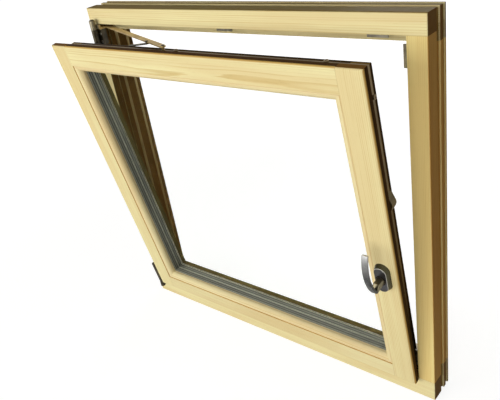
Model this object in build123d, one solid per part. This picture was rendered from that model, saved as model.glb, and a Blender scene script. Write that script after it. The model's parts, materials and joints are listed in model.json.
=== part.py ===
"""Tilt and turn window in solid pine, one sash, shown tilted open.

Millimetres. X runs along the window, Y from the room to the outside, Z up.
The origin lies on the underside of the sill, on its flat front band.
The sash is drawn shut and then leaned into the room about its lower hinge.
"""

import math
import os
from collections import namedtuple

from build123d import *

# Frame
frame_width = 864.0
frame_height = 832.0
frame_depth = 68.0
land = 37.0
sill_land = 49.0
land_depth = 36.0
stop_height = 20.0
jamb_recess = 9.0
jamb_recess_depth = 21.5
rebate_groove = (17.0, 22.0)
rebate_groove_depth = 4.0
perimeter_groove_1 = (32.0, 45.5)
perimeter_groove_1_depth = 3.5
perimeter_groove_2 = (54.5, 63.5)
perimeter_groove_2_depth = 3.0
frame_arris = 2.0

# Sash
overlap_cover = 2.5
sill_cover = 2.5
overlap_width = 15.0
overlap_thickness = 14.0
overlap_gap = 5.0
overlap_round = 4.0
sash_depth = 68.0
stile_face = 49.0
rail_top_face = 47.0
rail_bottom_face = 42.0
bead_width = 16.0
rear_step_depth = 48.0
rear_gap = 6.0
seal_width = 8.0
seal_thickness = 2.0

# Groove for the locking hardware
faceplate_width = 16.0
faceplate_thickness = 2.5
channel_width = 12.0
channel_depth = 9.0
channel_centre = 21.0

# Glazing
bead_height = 18.0
bead_shoulder = 3.0
bead_ramp = (2.0, 1.0)
bead_crown = (0.7, 4.0)
bead_foot_share = 0.6
pane_thickness = 4.0
pane_cavity = 12.0
pane_edge_gap = 4.0
spacer_width = 7.0
spacer_setback = 5.0

# Hinge line
tilt_angle = 9.5
axis_from_frame_edge = 26.0
axis_in_front = 13.0
tilt_axis_rise = 0.0
hinge_pin_radius = 3.0
pin_clearance = 0.05
seat_gap = 0.5
plate_thickness = 3.0
web_width = 5.0

# Lower hinge corner
knuckle_radius = 6.5
knuckle_below = 7.5
knuckle_above = 4.5
socket_height = 7.5
corner_plate_height = 29.0
hinge_bar_start = 6.5
hinge_bar_length = 64.0
hinge_leaf_thickness = 1.5
hinge_leaf_margin = 3.0

# Upper hinge corner and stay arm
bearing_radius = 7.0
bearing_height = 37.5
bearing_wrap = 10.0
barrel_height = 21.0
barrel_below_arm = 2.0
stay_length = 350.0
stay_width = 12.0
stay_thickness = 3.0
stay_above_sash = 4.5
strap_thickness = 2.0
strap_below_arm = 1.0
strap_height = 10.0
stay_foot_clearance = 5.0
stay_foot_width = 10.0
stay_pin_depth = 7.0
lever_pivot = 280.0
lever_length = 34.0
lever_thickness = 2.0
lever_width = 9.0
lever_gap = 0.5

# Handle
handle_from_edge = 30.5
handle_height = 314.0
rosette_width = 33.0
rosette_height = 67.0
rosette_thickness = 11.0
rosette_taper = 20.0
rosette_round = 1.0
boss_radius = 10.5
boss_height = 1.0
neck_radius = 8.5
handle_elbow = 37.0
handle_reach = 55.0
handle_reach_height = 46.0
handle_tip_distance = 46.5
handle_tip_height = 94.0
handle_width = 12.4
handle_thickness = 5.5
handle_edge = 1.2

# Locking points, measured from the outside of the frame
cam_radius = 4.5
cam_height = 7.0
striker_length = 40.0
striker_behind_channel = 8.0
striker_setback = {"head": 5.0, "sill": 5.0, "jamb": 1.0}
striker_thickness = 2.5
striker_hook = 4.0
striker_hook_width = 3.0
cam_past_striker = 30.0
head_striker_places = (435.5, 91.5)
sill_striker_place = 91.5
jamb_striker_from_top = 71.5
jamb_striker_from_sill = 105.0
lifter_height = 470.0
lifter_length = 40.0
lifter_width = 16.0
lifter_behind_channel = 5.0
lifter_rise = 7.5

# Rain rail
rail_thickness = 1.6
rail_front = 50.0
rail_overhang = 4.0
rail_drop = 12.0
rail_lip = 6.0

past = 1.0

front = -perimeter_groove_1[0] / 2
back = front + frame_depth
half = frame_width / 2
margin = land - overlap_cover
margin_bottom = sill_land - sill_cover
sash_front = front - overlap_gap - overlap_thickness
sash_back = sash_front + sash_depth
overlap_back = sash_front + overlap_thickness
stop_side = land + stop_height
stop_bottom = sill_land + stop_height
rear_inset = stop_side + rear_gap - margin
glazing_depth = bead_height + 3 * pane_thickness + 2 * pane_cavity

axis_x = -half + axis_from_frame_edge
axis_y = front - axis_in_front
tilt_z = margin_bottom + tilt_axis_rise

Rect = namedtuple("Rect", "left right bottom top")


def inset(rect, side, bottom=None, top=None):
    """A rectangle moved in on every side, with its own steps at the bottom and the top."""
    low = side if bottom is None else bottom
    high = side if top is None else top
    return Rect(rect.left + side, rect.right - side, rect.bottom + low, rect.top - high)


def block(x, y, z):
    """A box between pairs of coordinates."""
    size = [pair[1] - pair[0] for pair in (x, y, z)]
    centre = [(pair[0] + pair[1]) / 2 for pair in (x, y, z)]
    return Pos(*centre) * Box(*size)


def slab(rect, near, far):
    """A plate that fills a rectangle between two depths."""
    return block((rect.left, rect.right), (near, far), (rect.bottom, rect.top))


def ring(outer, inner, near, far):
    """A rectangular ring between two depths."""
    return slab(outer, near, far) - slab(inner, near - past, far + past)


def cylinder(start, end, radius):
    """A round bar from one point to another."""
    axis = Vector(*end) - Vector(*start)
    place = Plane(origin=start, z_dir=axis)
    return extrude(place * Circle(radius), amount=axis.length)


def prism(points, plane, amount):
    """A closed outline in a plane, drawn out along the plane's normal."""
    return extrude(plane * make_face(Polyline(*points, close=True)), amount=amount)


def save(name, shape):
    """Writes one piece."""
    export_step(shape, f"parts/{name}.step")


frame_rect = Rect(-half, half, 0.0, frame_height)
sash_rect = Rect(-half + margin, half - margin, margin_bottom, frame_height - margin)
body_rect = inset(sash_rect, overlap_width)
rear_rect = inset(sash_rect, rear_inset)
rebate_rect = inset(sash_rect, stile_face, rail_bottom_face, rail_top_face)
sight_rect = inset(rebate_rect, bead_width)
channel_y = overlap_back + channel_centre
stay_z = body_rect.top + stay_above_sash
handle_x = sash_rect.right - handle_from_edge
handle_z = sash_rect.bottom + handle_height
head_strikers = [half - place for place in head_striker_places]
sill_striker_x = half - sill_striker_place
jamb_strikers = {"upper": frame_height - jamb_striker_from_top, "lower": jamb_striker_from_sill}

tilt_axis = Axis((axis_x, axis_y, tilt_z), (1, 0, 0))
turn_axis = Axis((axis_x, axis_y, 0), (0, 0, 1))


def upright(low, high, radius):
    """A round bar on the turn axis."""
    return cylinder((axis_x, axis_y, low), (axis_x, axis_y, high), radius)


def channel_offset():
    """How far the channel of the sash lies behind the turn axis, shut and tilted."""
    shut = channel_y - axis_y
    rise = body_rect.top - tilt_z
    lean = math.radians(tilt_angle)
    return shut, shut * math.cos(lean) - rise * math.sin(lean)


def stay_angles():
    """Angle of the stay arm from the X direction, shut and tilted, in degrees."""
    return tuple(math.degrees(math.asin(off / stay_length)) for off in channel_offset())


def lever_angles():
    """Angle of the control lever from the arm's pivot back to the channel."""
    angles = []
    for arm, off in zip(stay_angles(), channel_offset()):
        pivot = lever_pivot * math.sin(math.radians(arm))
        angles.append(180 - math.degrees(math.asin((off - pivot) / lever_length)))
    return tuple(angles)


def tilted(shape):
    """Leans a piece of the sash into the room."""
    return shape.rotate(tilt_axis, tilt_angle)


def swung(shape):
    """Swings a piece of the stay arm out with the tilted sash."""
    shut, out = stay_angles()
    return shape.rotate(turn_axis, out - shut)


# Frame pieces

def frame_opening():
    """The hole in the frame: wide at the room, then the stop, which steps in twice on the jambs."""
    wide = inset(frame_rect, land, sill_land)
    narrow = inset(frame_rect, stop_side, stop_bottom)
    recess = inset(frame_rect, stop_side - jamb_recess, stop_bottom, stop_side)
    step = front + land_depth
    hole = slab(wide, front - past, step) + slab(narrow, step - past, back + past)
    return hole + slab(recess, step - past, step + jamb_recess_depth)


def frame_grooves():
    """The groove round the rebate and the two grooves round the outside."""
    near, far = rebate_groove
    deep = inset(frame_rect, land - rebate_groove_depth, sill_land - rebate_groove_depth)
    grooves = slab(deep, front + near, front + far)
    outside = inset(frame_rect, -past)
    for (near, far), depth in (
        (perimeter_groove_1, perimeter_groove_1_depth),
        (perimeter_groove_2, perimeter_groove_2_depth),
    ):
        grooves += ring(outside, inset(frame_rect, depth), front + near, front + far)
    return grooves


def frame_body():
    """The four frame members as one."""
    body = slab(frame_rect, front, back)
    body = fillet(body.edges().group_by(Axis.Y)[0], frame_arris)
    return body - frame_opening() - frame_grooves()


def frame_members():
    """Head and sill run through, and the jambs stand between them."""
    body = frame_body()
    step = front + land_depth
    near, far = front - past, back + past
    wide = (-half - past, half + past)
    top = frame_height + past
    over_head = block(wide, (near, step), (frame_height - land, top))
    over_head += block(wide, (step, far), (frame_height - stop_side, top))
    under_sill = block(wide, (near, step), (-past, sill_land))
    under_sill += block(wide, (step, far), (-past, stop_bottom))
    jambs = body - over_head - under_sill
    left, right = jambs.solids().sort_by(Axis.X)
    return {
        "frame_head": body & over_head,
        "frame_sill": body & under_sill,
        "frame_jamb_left": left,
        "frame_jamb_right": right,
    }


def rain_rail():
    """Aluminium rail on the outer edge of the sill, with a drip nose."""
    nose = back + rail_overhang
    near = front + rail_front
    low = stop_bottom
    high = low + rail_thickness
    points = [
        (near, low),
        (nose, low),
        (nose, low - rail_drop),
        (nose + rail_thickness, low - rail_drop),
        (nose + rail_thickness, high),
        (near + rail_thickness, high),
        (near + rail_thickness, low + rail_lip),
        (near, low + rail_lip),
    ]
    start = -half + stop_side
    return prism(points, Plane.YZ.offset(start), 2 * abs(start))


def striker(side, place):
    """A striker on the rebate wall: a plate with a hook along its room side, which a cam slides behind."""
    near = front + striker_setback[side]
    long = (-striker_length / 2, striker_length / 2)
    piece = block(long, (near, channel_y + striker_behind_channel), (0, striker_thickness))
    piece += block(long, (near, near + striker_hook_width), (0, striker_thickness + striker_hook))
    turns = {"head": 180, "sill": 0, "jamb": -90}
    spots = {
        "head": (place, 0, frame_height - land),
        "sill": (place, 0, sill_land),
        "jamb": (half - land, 0, place),
    }
    return Pos(*spots[side]) * Rot(0, turns[side], 0) * piece


def strikers():
    """Two strikers in the head, two in the lock jamb and one in the sill."""
    pieces = {}
    for number, x in enumerate(head_strikers, start=1):
        pieces[f"striker_head_{number}"] = striker("head", x)
    for name, z in jamb_strikers.items():
        pieces[f"striker_jamb_{name}"] = striker("jamb", z)
    pieces["striker_sill"] = striker("sill", sill_striker_x)
    return pieces


def stay_bearing():
    """Bracket at the upper hinge corner: a plate round the frame's edge, a lug and a pin."""
    high = stay_z - barrel_below_arm - seat_gap
    low = high - bearing_height
    edge = -half + land
    tall = (low, high)
    plate = block((axis_x - bearing_radius, edge + plate_thickness), (front - plate_thickness, front), tall)
    plate += block((edge, edge + plate_thickness), (front - plate_thickness, front + bearing_wrap), tall)
    web = block((axis_x - web_width / 2, axis_x + web_width / 2), (axis_y, front - plate_thickness / 2), tall)
    pin = upright(low, high + barrel_height + 2 * seat_gap, hinge_pin_radius)
    return plate + web + upright(low, high, bearing_radius) + pin


def corner_bearing():
    """Bracket at the lower hinge corner: a plate on the frame and an upright pin."""
    high = tilt_z - knuckle_below - seat_gap
    low = high - socket_height
    plate = block(
        (axis_x - knuckle_radius, axis_x + knuckle_radius),
        (front - plate_thickness, front),
        (low, low + corner_plate_height),
    )
    web = block(
        (axis_x - web_width / 2, axis_x + web_width / 2),
        (axis_y, front - plate_thickness / 2),
        (low, high),
    )
    pin = upright(low, tilt_z - hinge_pin_radius - seat_gap, hinge_pin_radius)
    return plate + web + upright(low, high, knuckle_radius) + pin


def corner_knuckle():
    """Knuckle that turns on the upright pin and holds the level tilt pivot."""
    bore = hinge_pin_radius + pin_clearance
    barrel = upright(tilt_z - knuckle_below, tilt_z + knuckle_above, knuckle_radius)
    socket = upright(tilt_z - knuckle_below - past, tilt_z, bore)
    reach = knuckle_radius + past
    level = cylinder((axis_x - reach, axis_y, tilt_z), (axis_x + reach, axis_y, tilt_z), bore)
    return barrel - socket - level


# Sash pieces, drawn shut

def sash_body():
    """The four sash members as one, with the overlap and the hardware groove."""
    step = sash_front + rear_step_depth
    overlap = slab(sash_rect, sash_front, overlap_back)
    overlap = fillet(overlap.edges().group_by(Axis.Y)[0], overlap_round)
    body = overlap + slab(body_rect, overlap_back - past, step) + slab(rear_rect, step - past, sash_back)
    body -= slab(rebate_rect, sash_front - past, sash_front + glazing_depth)
    body -= slab(sight_rect, sash_front, sash_back + past)
    outside = inset(body_rect, -past)
    for depth, width in ((faceplate_thickness, faceplate_width), (channel_depth, channel_width)):
        body -= ring(outside, inset(body_rect, depth), channel_y - width / 2, channel_y + width / 2)
    return body


def sash_members():
    """The stiles run through, and the rails stand between them."""
    body = sash_body()
    step = sash_front + glazing_depth
    tall = (sash_rect.bottom - past, sash_rect.top + past)
    edge = sash_rect.left - past
    stile = block((edge, rebate_rect.left), (sash_front - past, step), tall)
    stile += block((edge, sight_rect.left), (step, sash_back + past), tall)
    other = mirror(stile, about=Plane.YZ)
    rails = body - stile - other
    low, high = rails.solids().sort_by(Axis.Z)
    return {
        "sash_stile_left": body & stile,
        "sash_stile_right": body & other,
        "sash_rail_bottom": low,
        "sash_rail_top": high,
    }


def bead_section():
    """Outline of a glazing bead: a soft nose that falls to the glass."""
    wall_start = (bead_width, bead_height * bead_foot_share)
    crown = (bead_width * bead_crown[0], bead_crown[1])
    shoulder = Line((0, bead_height), (0, bead_shoulder))
    ramp = Line((0, bead_shoulder), bead_ramp)
    nose = ThreePointArc(bead_ramp, crown, wall_start)
    wall = Line(wall_start, (bead_width, bead_height))
    foot = Line((bead_width, bead_height), (0, bead_height))
    return make_face([shoulder, ramp, nose, wall, foot])


def bead(origin, inward, along, length):
    """One bead with mitred ends."""
    place = Plane(origin=origin, x_dir=inward, z_dir=along)
    bar = extrude(place * bead_section(), amount=length)
    face = Plane(origin=origin, x_dir=inward, z_dir=(0, -1, 0))
    run = 1 if Vector(*along).dot(face.y_dir) > 0 else -1
    points = [(0, 0), (bead_width, run * bead_width), (bead_width, run * (length - bead_width)), (0, run * length)]
    return bar & prism(points, face, -bead_height)


def beads():
    """Four beads that hold the glass from the room."""
    box = rebate_rect
    wide = box.right - box.left
    tall = box.top - box.bottom
    y = sash_front
    return {
        "bead_left": bead((box.left, y, box.bottom), (1, 0, 0), (0, 0, 1), tall),
        "bead_right": bead((box.right, y, box.top), (-1, 0, 0), (0, 0, -1), tall),
        "bead_bottom": bead((box.right, y, box.bottom), (0, 0, 1), (-1, 0, 0), wide),
        "bead_top": bead((box.left, y, box.top), (0, 0, -1), (1, 0, 0), wide),
    }


def glazing():
    """Three panes with a spacer frame between each two."""
    pieces = {}
    pane_rect = inset(rebate_rect, pane_edge_gap)
    outer = inset(pane_rect, spacer_setback)
    inner = inset(outer, spacer_width)
    near = sash_front + bead_height
    for name in ("inner", "middle", "outer"):
        pieces[f"glass_{name}"] = slab(pane_rect, near, near + pane_thickness)
        near += pane_thickness
        if name != "outer":
            pieces[f"spacer_{name}"] = ring(outer, inner, near, near + pane_cavity)
            near += pane_cavity
    return pieces


def sash_seal():
    """Rubber seal on the rear step of the sash."""
    step = sash_front + rear_step_depth
    return ring(body_rect, inset(body_rect, seal_width), step, step + seal_thickness)


def faceplates():
    """Steel strips in the groove round the sash."""
    deep = (channel_y - faceplate_width / 2, channel_y + faceplate_width / 2)
    box = body_rect
    seat = inset(box, faceplate_thickness)
    tall = (box.bottom, box.top)
    wide = (seat.left, seat.right)
    return {
        "faceplate_hinge_side": block((box.left, seat.left), deep, tall),
        "faceplate_lock_side": block((seat.right, box.right), deep, tall),
        "faceplate_top": block(wide, deep, (seat.top, box.top)) - stay_slot(),
        "faceplate_bottom": block(wide, deep, (box.bottom, seat.bottom)),
    }


def stay_slot():
    """The long hole that the pin of the stay arm slides in."""
    reach = [stay_length * math.cos(math.radians(angle)) for angle in stay_angles()]
    room = hinge_pin_radius + 4 * seat_gap
    x = (axis_x + min(reach) - room, axis_x + max(reach) + room)
    return block(x, (channel_y - room, channel_y + room), (body_rect.top - channel_depth, body_rect.top + past))


def cams():
    """Locking cams on the faceplates, slid past the ends of their strikers."""
    y = channel_y
    box = body_rect
    pieces = {}
    for number, place in enumerate(head_strikers, start=1):
        x = place - cam_past_striker
        pieces[f"cam_top_{number}"] = cylinder((x, y, box.top), (x, y, box.top + cam_height), cam_radius)
    for name, place in jamb_strikers.items():
        z = place - cam_past_striker
        end = (box.right + cam_height, y, z)
        pieces[f"cam_lock_{name}"] = cylinder((box.right, y, z), end, cam_radius)
    x = sill_striker_x - cam_past_striker
    pieces["cam_bottom"] = cylinder((x, y, box.bottom), (x, y, box.bottom - cam_height), cam_radius)
    return pieces


def sash_lifter():
    """Wedge on the lock side that lifts the sash as it shuts, steeper below."""
    side = body_rect.right
    tip = side + lifter_rise
    z = sash_rect.bottom + lifter_height
    outline = [
        Line((side, z + lifter_length / 2), (tip, z)),
        Line((tip, z), (tip, z - lifter_length / 8)),
        ThreePointArc(
            (tip, z - lifter_length / 8),
            (side + lifter_rise * 0.6, z - lifter_length / 3),
            (side, z - lifter_length / 2),
        ),
        Line((side, z - lifter_length / 2), (side, z + lifter_length / 2)),
    ]
    far = channel_y + lifter_behind_channel + lifter_width / 2
    place = Plane(origin=(0, far, 0), x_dir=(1, 0, 0), z_dir=(0, -1, 0))
    return extrude(place * make_face(outline), amount=lifter_width)


def corner_hinge():
    """Sash side of the lower hinge: leaf, tall hinge bar and level pivot."""
    edge = sash_rect.left
    low = tilt_z + hinge_bar_start
    high = low + hinge_bar_length
    deep = (sash_front + hinge_leaf_margin, overlap_back - hinge_leaf_margin)
    leaf = block((edge - hinge_leaf_thickness, edge), deep, (tilt_z - hinge_pin_radius, high))
    web = block((axis_x, edge), (axis_y - web_width / 2, axis_y + web_width / 2), (low, high))
    bar = upright(low, high, knuckle_radius)
    start = (axis_x - knuckle_radius + past, axis_y, tilt_z)
    pivot = cylinder(start, (edge, axis_y, tilt_z), hinge_pin_radius)
    return leaf + web + bar + pivot


def handle_plane(offset):
    """The plane of the handle, a distance in front of the sash, with Y upwards."""
    origin = (handle_x, sash_front - offset, handle_z)
    return Plane(origin=origin, x_dir=(1, 0, 0), z_dir=(0, -1, 0))


def handle_rosette():
    """Oval plate under the handle with leaning sides, and a low round boss."""
    outline = SlotOverall(rosette_height, rosette_width, rotation=90)
    plate = extrude(handle_plane(0) * outline, amount=rosette_thickness, taper=rosette_taper)
    plate = fillet(plate.faces().sort_by(Axis.Y)[0].edges(), rosette_round)
    boss = extrude(handle_plane(rosette_thickness - past) * Circle(boss_radius), amount=boss_height + past)
    return plate + boss


def handle_outline():
    """Side view of the handle: an elbow, then a bow that comes back towards its tip."""
    root = rosette_thickness + boss_height + neck_radius
    tip = (handle_tip_distance, handle_tip_height)
    tip_back = (handle_tip_distance - handle_thickness, handle_tip_height - handle_edge)
    crown_back = (handle_reach - handle_thickness, handle_reach_height)
    elbow_back = (handle_elbow + handle_thickness / 2, neck_radius)
    return [
        Line((root, -neck_radius), (handle_elbow, -neck_radius)),
        ThreePointArc((handle_elbow, -neck_radius), (handle_reach, handle_reach_height), tip),
        Line(tip, tip_back),
        ThreePointArc(tip_back, crown_back, elbow_back),
        Line(elbow_back, (root, neck_radius)),
        Line((root, neck_radius), (root, -neck_radius)),
    ]


def handle_lever():
    """Round neck and flat bowed lever, pointing up."""
    side = Plane(
        origin=(handle_x - handle_width / 2, sash_front, handle_z),
        x_dir=(0, -1, 0),
        z_dir=(1, 0, 0),
    )
    run = 1 if side.y_dir.Z > 0 else -1
    outline = make_face(handle_outline())
    outline = outline if run > 0 else mirror(outline, about=Plane.XZ)
    bar = extrude(side * outline, amount=handle_width)
    bar = fillet(bar.faces().filter_by(Axis.X).edges(), handle_edge)
    clear = rosette_thickness + boss_height + pin_clearance
    neck = extrude(handle_plane(clear) * Circle(neck_radius), amount=handle_elbow - clear)
    return bar + neck


# Stay pieces, drawn with the sash shut

def stay_arm():
    """Flat arm from its barrel round the overlap to the channel of the sash."""
    shut = math.radians(stay_angles()[0])
    flat = (stay_z, stay_z + stay_thickness)
    tall = (stay_z - strap_below_arm, stay_z - strap_below_arm + strap_height)
    low = stay_z - barrel_below_arm
    middle = front - overlap_gap / 2
    strap_y = (middle - strap_thickness / 2 - past, middle + strap_thickness / 2 - past)
    foot_left = -half + land + stay_foot_clearance
    foot_right = foot_left + stay_foot_width
    near = channel_y - stay_width / 2
    far = channel_y + stay_width / 2
    end = (axis_x + stay_length * math.cos(shut), channel_y)
    pieces = [
        upright(low, low + barrel_height, bearing_radius),
        block((axis_x - strap_thickness, axis_x + web_width / 2), (axis_y, strap_y[1]), tall),
        block((axis_x - strap_thickness, foot_right), strap_y, tall),
        block((foot_left, foot_right), (strap_y[0], far), flat),
        block((foot_left, end[0]), (near, far), flat),
        cylinder((*end, flat[0]), (*end, flat[1]), stay_width / 2),
        cylinder((*end, body_rect.top - stay_pin_depth), (*end, flat[1]), hinge_pin_radius),
    ]
    arm = pieces[0]
    for piece in pieces[1:]:
        arm += piece
    return arm - upright(low - past, low + barrel_height + past, hinge_pin_radius + pin_clearance)


def stay_lever():
    """Short lever under the arm that steers it into the channel."""
    arm_out = math.radians(stay_angles()[1])
    x = axis_x + lever_pivot * math.cos(arm_out)
    y = axis_y + lever_pivot * math.sin(arm_out)
    low = stay_z - lever_gap - lever_thickness
    place = Pos(x, y, low) * Rot(0, 0, lever_angles()[1]) * Pos(lever_length / 2, 0, 0)
    return extrude(place * SlotCenterToCenter(lever_length, lever_width), amount=lever_thickness)


def build():
    """Builds every piece and writes it."""
    os.makedirs("parts", exist_ok=True)
    fixed = {**frame_members(), **strikers()}
    fixed["rain_rail"] = rain_rail()
    fixed["stay_bearing"] = stay_bearing()
    fixed["corner_bearing"] = corner_bearing()
    fixed["corner_knuckle"] = corner_knuckle()
    for name, shape in fixed.items():
        save(name, shape)
    sash = {}
    for group in (sash_members(), beads(), glazing(), faceplates(), cams()):
        sash.update(group)
    sash["sash_seal"] = sash_seal()
    sash["sash_lifter"] = sash_lifter()
    sash["corner_hinge"] = corner_hinge()
    sash["handle_rosette"] = handle_rosette()
    sash["handle_lever"] = handle_lever()
    for name, shape in sash.items():
        save(name, tilted(shape))
    save("stay_arm", swung(stay_arm()))
    save("stay_lever", stay_lever())


def report():
    """Prints the places and ratios that the joints use."""
    shut, out = stay_angles()
    lever_shut, lever_out = lever_angles()
    lever_swing = (lever_shut - shut) - (lever_out - out)
    print("axis", axis_x, axis_y, tilt_z)
    print("handle", handle_x, handle_z, "stay height", stay_z, "sash front", sash_front)
    print("stay swing", shut - out, "ratio", (shut - out) / tilt_angle)
    print("lever swing", lever_swing, "ratio", lever_swing / tilt_angle)


build()
report()
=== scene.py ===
"""Dresses a pine tilt and turn window: its wood, glass, hinges and handle, with light and a camera."""

import json
import logging
import math
from dataclasses import dataclass
from enum import Enum
from typing import Any, Callable, Optional, Sequence, Union

import bmesh
import bpy
from mathutils import Euler, Matrix, Vector


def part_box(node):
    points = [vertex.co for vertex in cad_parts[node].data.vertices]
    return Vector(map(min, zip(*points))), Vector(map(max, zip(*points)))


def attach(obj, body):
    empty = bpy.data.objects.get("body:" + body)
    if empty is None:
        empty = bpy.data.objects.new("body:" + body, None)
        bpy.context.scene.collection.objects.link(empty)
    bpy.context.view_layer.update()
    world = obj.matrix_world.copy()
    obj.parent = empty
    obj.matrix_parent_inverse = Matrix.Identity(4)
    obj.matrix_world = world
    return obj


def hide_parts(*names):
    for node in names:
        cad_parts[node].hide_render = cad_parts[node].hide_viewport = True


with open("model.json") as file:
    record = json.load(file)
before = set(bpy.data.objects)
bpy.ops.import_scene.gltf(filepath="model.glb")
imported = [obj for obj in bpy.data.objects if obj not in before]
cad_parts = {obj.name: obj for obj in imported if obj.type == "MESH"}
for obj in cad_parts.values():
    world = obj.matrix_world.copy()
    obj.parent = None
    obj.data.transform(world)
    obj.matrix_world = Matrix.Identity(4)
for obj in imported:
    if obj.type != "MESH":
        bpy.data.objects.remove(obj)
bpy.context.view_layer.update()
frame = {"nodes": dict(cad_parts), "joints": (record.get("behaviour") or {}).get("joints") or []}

log = logging.getLogger("window")

MM = 0.001
Colour = tuple[float, float, float, float]
Test = Callable[[Vector, Vector], bool]
Span = tuple[float, float]
Scale = tuple[float, float, float]
ScrewPlace = tuple[str, str, Vector, Vector]
WHITE: Colour = (1.0, 1.0, 1.0, 1.0)


def srgb(red: int, green: int, blue: int) -> Colour:
    """Turns a colour as a screen shows it into the linear colour that a shader uses.

    Args:
        red: Red from 0 to 255.
        green: Green from 0 to 255.
        blue: Blue from 0 to 255.

    Returns:
        The linear colour, with an alpha of 1.
    """

    def linear(value: int) -> float:
        """Returns one channel as linear light."""
        share = value / 255
        return share / 12.92 if share <= 0.04045 else ((share + 0.055) / 1.055) ** 2.4

    return linear(red), linear(green), linear(blue), 1.0


# Materials


def operator(operation: str, swapped: bool = False) -> Callable[["Wire", "Value"], "Wire"]:
    """Makes a method of a wire that adds a Math node over two values.

    Args:
        operation: What the node works out.
        swapped: Whether the wire is the second value.

    Returns:
        The method.
    """

    def method(self: "Wire", other: "Value") -> "Wire":
        """Returns the output of the new node."""
        return self.math(operation, *((other, self) if swapped else (self, other)))

    return method


class Wire:
    """A node's output that can be used in arithmetic."""

    def __init__(self, sheet: "Sheet", socket: bpy.types.NodeSocket) -> None:
        """Wraps a socket of a sheet."""
        self.sheet = sheet
        self.socket = socket

    def math(self, operation: str, *values: "Value") -> "Wire":
        """Adds a Math node over the values and returns its output."""
        node = self.sheet.add("ShaderNodeMath", {"operation": operation}, dict(enumerate(values)))
        return Wire(self.sheet, node.outputs[0])

    __add__ = __radd__ = operator("ADD")
    __sub__ = operator("SUBTRACT")
    __rsub__ = operator("SUBTRACT", swapped=True)
    __mul__ = __rmul__ = operator("MULTIPLY")
    __truediv__ = operator("DIVIDE")
    __pow__ = operator("POWER")
    larger = operator("MAXIMUM")

    def __abs__(self) -> "Wire":
        """Returns the distance from zero."""
        return self.math("ABSOLUTE", self)

    def fraction(self) -> "Wire":
        """Returns what is left over a whole number."""
        return self.math("FRACT", self)

    def rise(self, low: float, high: float) -> "Wire":
        """Makes a soft step.

        Args:
            low: Where the step starts, at 0.
            high: Where it ends, at 1.

        Returns:
            0 below low, 1 above high and a smooth rise between.
        """
        node = self.sheet.add(
            "ShaderNodeMapRange",
            {"interpolation_type": "SMOOTHSTEP"},
            {"Value": self, "From Min": low, "From Max": high},
        )
        return Wire(self.sheet, node.outputs[0])


Value = Union[Wire, float, int, Sequence[float], bpy.types.NodeSocket]


class Sheet:
    """The node tree of one material, or of the surround."""

    def __init__(self, holder: Union[bpy.types.Material, bpy.types.World]) -> None:
        """Starts with no nodes.

        Args:
            holder: The material or the surround that gets the nodes.
        """
        self.holder = holder
        holder.use_nodes = True
        self.tree = holder.node_tree
        self.tree.nodes.clear()

    @staticmethod
    def named(name: str) -> "Sheet":
        """Starts a new material."""
        return Sheet(bpy.data.materials.new(name))

    def add(
        self,
        kind: str,
        settings: Optional[dict[str, Any]] = None,
        values: Optional[dict[Union[str, int], Value]] = None,
    ) -> bpy.types.Node:
        """Adds a node.

        Args:
            kind: The node's type.
            settings: Properties of the node, set first.
            values: What its sockets get: numbers, or wires that are linked.

        Returns:
            The node.
        """
        node = self.tree.nodes.new(kind)
        for name, setting in (settings or {}).items():
            setattr(node, name, setting)
        for key, value in (values or {}).items():
            source = value.socket if isinstance(value, Wire) else value
            if isinstance(source, bpy.types.NodeSocket):
                self.tree.links.new(source, node.inputs[key])
            else:
                node.inputs[key].default_value = source
        return node

    def wire(self, node: bpy.types.Node, key: Union[str, int] = 0) -> Wire:
        """Returns one output of a node."""
        return Wire(self, node.outputs[key])

    def place(self, kind: str = "Object") -> Wire:
        """Returns the object's own coordinates, or its normal."""
        return self.wire(self.add("ShaderNodeTexCoord"), kind)

    def moved(self, point: Wire, turn: Sequence[float], shift: Sequence[float]) -> Wire:
        """Returns a point that is turned and then shifted."""
        node = self.add("ShaderNodeMapping", None, {"Vector": point, "Rotation": turn, "Location": shift})
        return self.wire(node)

    def stretched(self, point: Wire, size: Sequence[float]) -> Wire:
        """Returns a point that is scaled on each axis."""
        node = self.add("ShaderNodeVectorMath", {"operation": "MULTIPLY"}, {0: point, 1: size})
        return self.wire(node)

    def axes(self, point: Wire) -> tuple[Wire, Wire, Wire]:
        """Returns the three numbers of a point."""
        node = self.add("ShaderNodeSeparateXYZ", None, {0: point})
        return self.wire(node, 0), self.wire(node, 1), self.wire(node, 2)

    def noise(self, point: Wire, scale: float, detail: float = 2.0) -> Wire:
        """Returns soft noise around 0.5."""
        node = self.add("ShaderNodeTexNoise", None, {"Vector": point, "Scale": scale, "Detail": detail})
        return self.wire(node)

    def blend(self, share: Value, first: Value, second: Value, mode: str = "MIX") -> Wire:
        """Returns a mix of two colours."""
        settings = {"data_type": "RGBA", "blend_type": mode, "clamp_factor": True}
        return self.wire(self.add("ShaderNodeMix", settings, {0: share, 6: first, 7: second}), 2)

    def bump(self, height: Wire, depth: float) -> Wire:
        """Returns a normal that shows the height, in metres at 1."""
        return self.wire(self.add("ShaderNodeBump", None, {"Height": height, "Distance": depth}))

    def shader(self, values: dict[str, Value]) -> Wire:
        """Returns the main shader with its sockets set."""
        return self.wire(self.add("ShaderNodeBsdfPrincipled", None, values))

    def finish(self, surface: Wire) -> bpy.types.Material:
        """Puts a shader on the surface and returns the material."""
        self.add("ShaderNodeOutputMaterial", None, {"Surface": surface})
        return self.holder


class Grain(Enum):
    """The way that the fibres of a piece run."""

    UPRIGHT = "upright"
    LEVEL = "level"


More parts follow.
